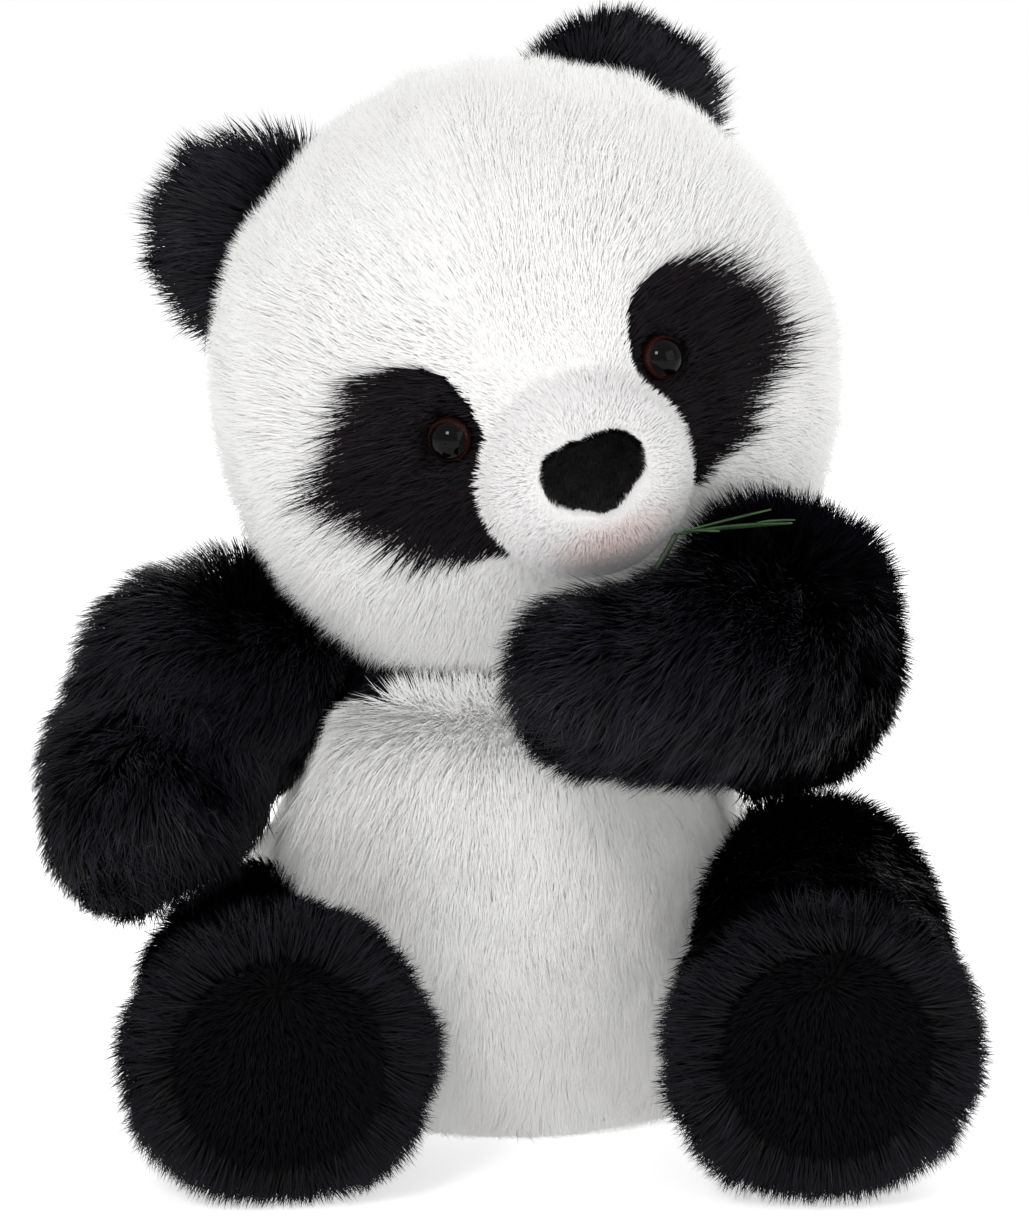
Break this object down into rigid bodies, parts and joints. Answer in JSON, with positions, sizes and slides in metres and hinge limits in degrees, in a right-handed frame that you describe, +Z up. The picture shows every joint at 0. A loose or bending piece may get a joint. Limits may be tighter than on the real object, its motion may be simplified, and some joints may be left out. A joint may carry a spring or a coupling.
{
  "type": "plush panda",
  "caption": "Seated long-pile plush panda with black limbs, ears, shoulders and eye patches and a bamboo sprig in its raised paw, its head and limbs on turning disc joints.",
  "frame": {"origin": "on the flat seat the toy sits on, on the torso's upright axis", "axes": "+Z up, -Y the way the seated toy points its feet, +X the toy's own left"},
  "size_m": [0.3106, 0.2602, 0.3858],
  "materials": {
    "white_plush": "matte",
    "black_plush": "matte",
    "eye_patch_plush": "matte",
    "nose_plush": "matte",
    "fibre_filling": "matte",
    "eye_plastic": "gloss",
    "joint_plastic": "matte",
    "bamboo_stem": "matte",
    "bamboo_leaf": "matte"
  },
  "bodies": {
    "torso": {"belly_panel_left": "white_plush", "belly_panel_right": "white_plush", "back_panel": "white_plush", "seat_panel": "white_plush", "shoulder_yoke": "black_plush", "tail": "white_plush", "torso_stuffing": "fibre_filling", "neck_washer": "joint_plastic", "shoulder_washers": "joint_plastic", "hip_washers": "joint_plastic"},
    "head": {"head_gusset": "white_plush", "head_side_left": "white_plush", "head_side_right": "white_plush", "eye_patch_left": "eye_patch_plush", "eye_patch_right": "eye_patch_plush", "muzzle_cover": "white_plush", "nose": "nose_plush", "left_eye": "eye_plastic", "right_eye": "eye_plastic", "eye_washers": "joint_plastic", "left_ear_front": "black_plush", "left_ear_back": "black_plush", "right_ear_front": "black_plush", "right_ear_back": "black_plush", "head_stuffing": "fibre_filling", "neck_stem_disc": "joint_plastic", "neck_lock_ring": "joint_plastic"},
    "left_arm": {"left_arm_outer_panel": "black_plush", "left_arm_inner_panel": "black_plush", "left_arm_stuffing": "fibre_filling", "left_arm_stem_disc": "joint_plastic", "left_arm_lock_ring": "joint_plastic", "bamboo_stem": "bamboo_stem", "bamboo_leaves": "bamboo_leaf"},
    "right_arm": {"right_arm_outer_panel": "black_plush", "right_arm_inner_panel": "black_plush", "right_arm_stuffing": "fibre_filling", "right_arm_stem_disc": "joint_plastic", "right_arm_lock_ring": "joint_plastic"},
    "left_leg": {"left_leg_outer_panel": "black_plush", "left_leg_inner_panel": "black_plush", "left_foot_sole": "black_plush", "left_leg_stuffing": "fibre_filling", "left_leg_stem_disc": "joint_plastic", "left_leg_lock_ring": "joint_plastic"},
    "right_leg": {"right_leg_outer_panel": "black_plush", "right_leg_inner_panel": "black_plush", "right_foot_sole": "black_plush", "right_leg_stuffing": "fibre_filling", "right_leg_stem_disc": "joint_plastic", "right_leg_lock_ring": "joint_plastic"}
  },
  "joints": [
    {"name": "neck_turn", "type": "hinge", "parent": "torso", "child": "head", "pos_m": [0.004, -0.012, 0.168], "axis": [0, 0, 1], "range_deg": [-60, 4]},
    {"name": "left_shoulder", "type": "hinge", "parent": "torso", "child": "left_arm", "pos_m": [0.064, 0, 0.138], "axis": [0.866, 0, 0.5], "range_deg": [0, 16]},
    {"name": "right_shoulder", "type": "hinge", "parent": "torso", "child": "right_arm", "pos_m": [-0.064, 0, 0.138], "axis": [-0.866, 0, 0.5], "range_deg": [0, 70]},
    {"name": "left_hip", "type": "hinge", "parent": "torso", "child": "left_leg", "pos_m": [0.071, -0.019, 0.055], "axis": [0.9659, -0.2588, 0], "range_deg": [0, 85]},
    {"name": "right_hip", "type": "hinge", "parent": "torso", "child": "right_leg", "pos_m": [-0.071, -0.019, 0.055], "axis": [-0.9659, -0.2588, 0], "range_deg": [-85, 0]}
  ]
}
